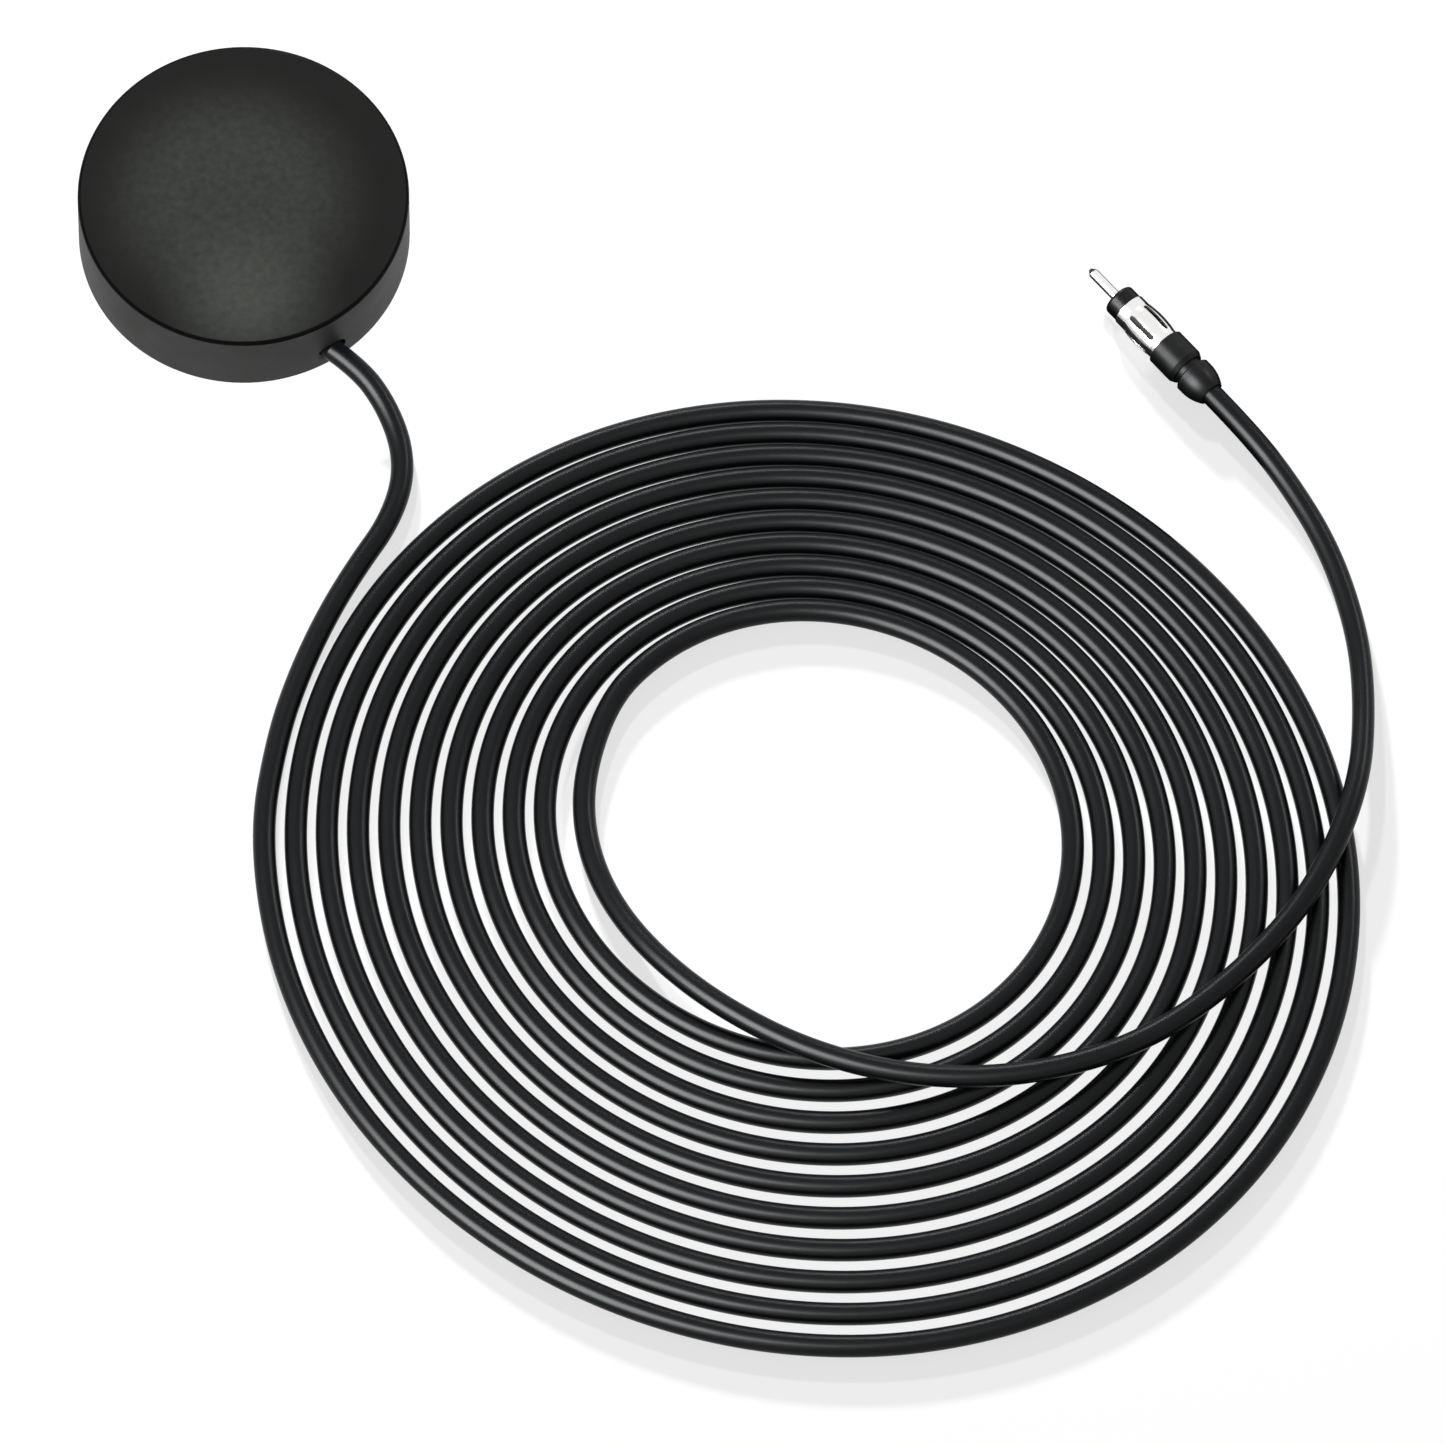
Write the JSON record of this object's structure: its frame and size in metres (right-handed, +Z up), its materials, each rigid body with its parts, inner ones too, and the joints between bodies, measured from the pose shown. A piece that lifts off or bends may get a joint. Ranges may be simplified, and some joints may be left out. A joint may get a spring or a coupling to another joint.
{
  "type": "car antenna",
  "caption": "Hidden car antenna: a round stick-on puck with a long coaxial cord in a loose flat coil, ending in a slotted spring aerial plug with a rubber boot.",
  "frame": {"origin": "middle of the underside of the puck, on the surface that it is stuck to and that the cord lies on", "axes": "+Z up, out of the puck's top; the cord leaves towards +X -Y and its coil lies on the -Y side; the plug points towards -X +Y"},
  "size_m": [0.2582, 0.2797, 0.0189],
  "materials": {
    "housing": "fine moulded texture, black",
    "plate": "moulded, black",
    "foam": "closed-cell foam with a sticky skin, black",
    "screw_steel": "zinc plated",
    "laminate": "green solder mask",
    "bobbin": "natural nylon",
    "copper": "enamelled copper wire",
    "ferrite": "sintered, dark grey",
    "ceramic": "fired ceramic with tinned ends",
    "tin": "tinned",
    "jacket": "smooth black PVC, semi-gloss",
    "dielectric": "natural polyethylene",
    "nickel": "bright nickel plate",
    "insulator": "moulded nylon, black",
    "boot": "moulded rubber, black"
  },
  "bodies": {
    "root": {"cover_shell": "housing", "base_plate": "plate", "base_screws": "screw_steel", "adhesive_pad": "foam", "circuit_board": "laminate", "board_screws": "screw_steel", "clamp_screws": "screw_steel", "cord_clamp": "plate", "solder_posts": "tin", "winding_former": "bobbin", "aerial_winding": "copper", "choke_core": "ferrite", "choke_winding": "copper", "chip_capacitors": "ceramic", "cord_tail": "jacket", "dielectric_tail": "dielectric", "core_tail": "copper", "braid_tail": "tin", "cord_lead": "jacket", "cord_coil": "jacket", "cord_end": "jacket", "plug_boot": "boot", "spring_sleeve": "nickel", "plug_barrel": "nickel", "crimp_ferrule": "nickel", "tip_insulator": "insulator", "rear_insulator": "insulator", "centre_pin": "nickel", "jacket_end": "jacket", "dielectric_end": "dielectric", "core_end": "copper"}
  },
  "joints": []
}
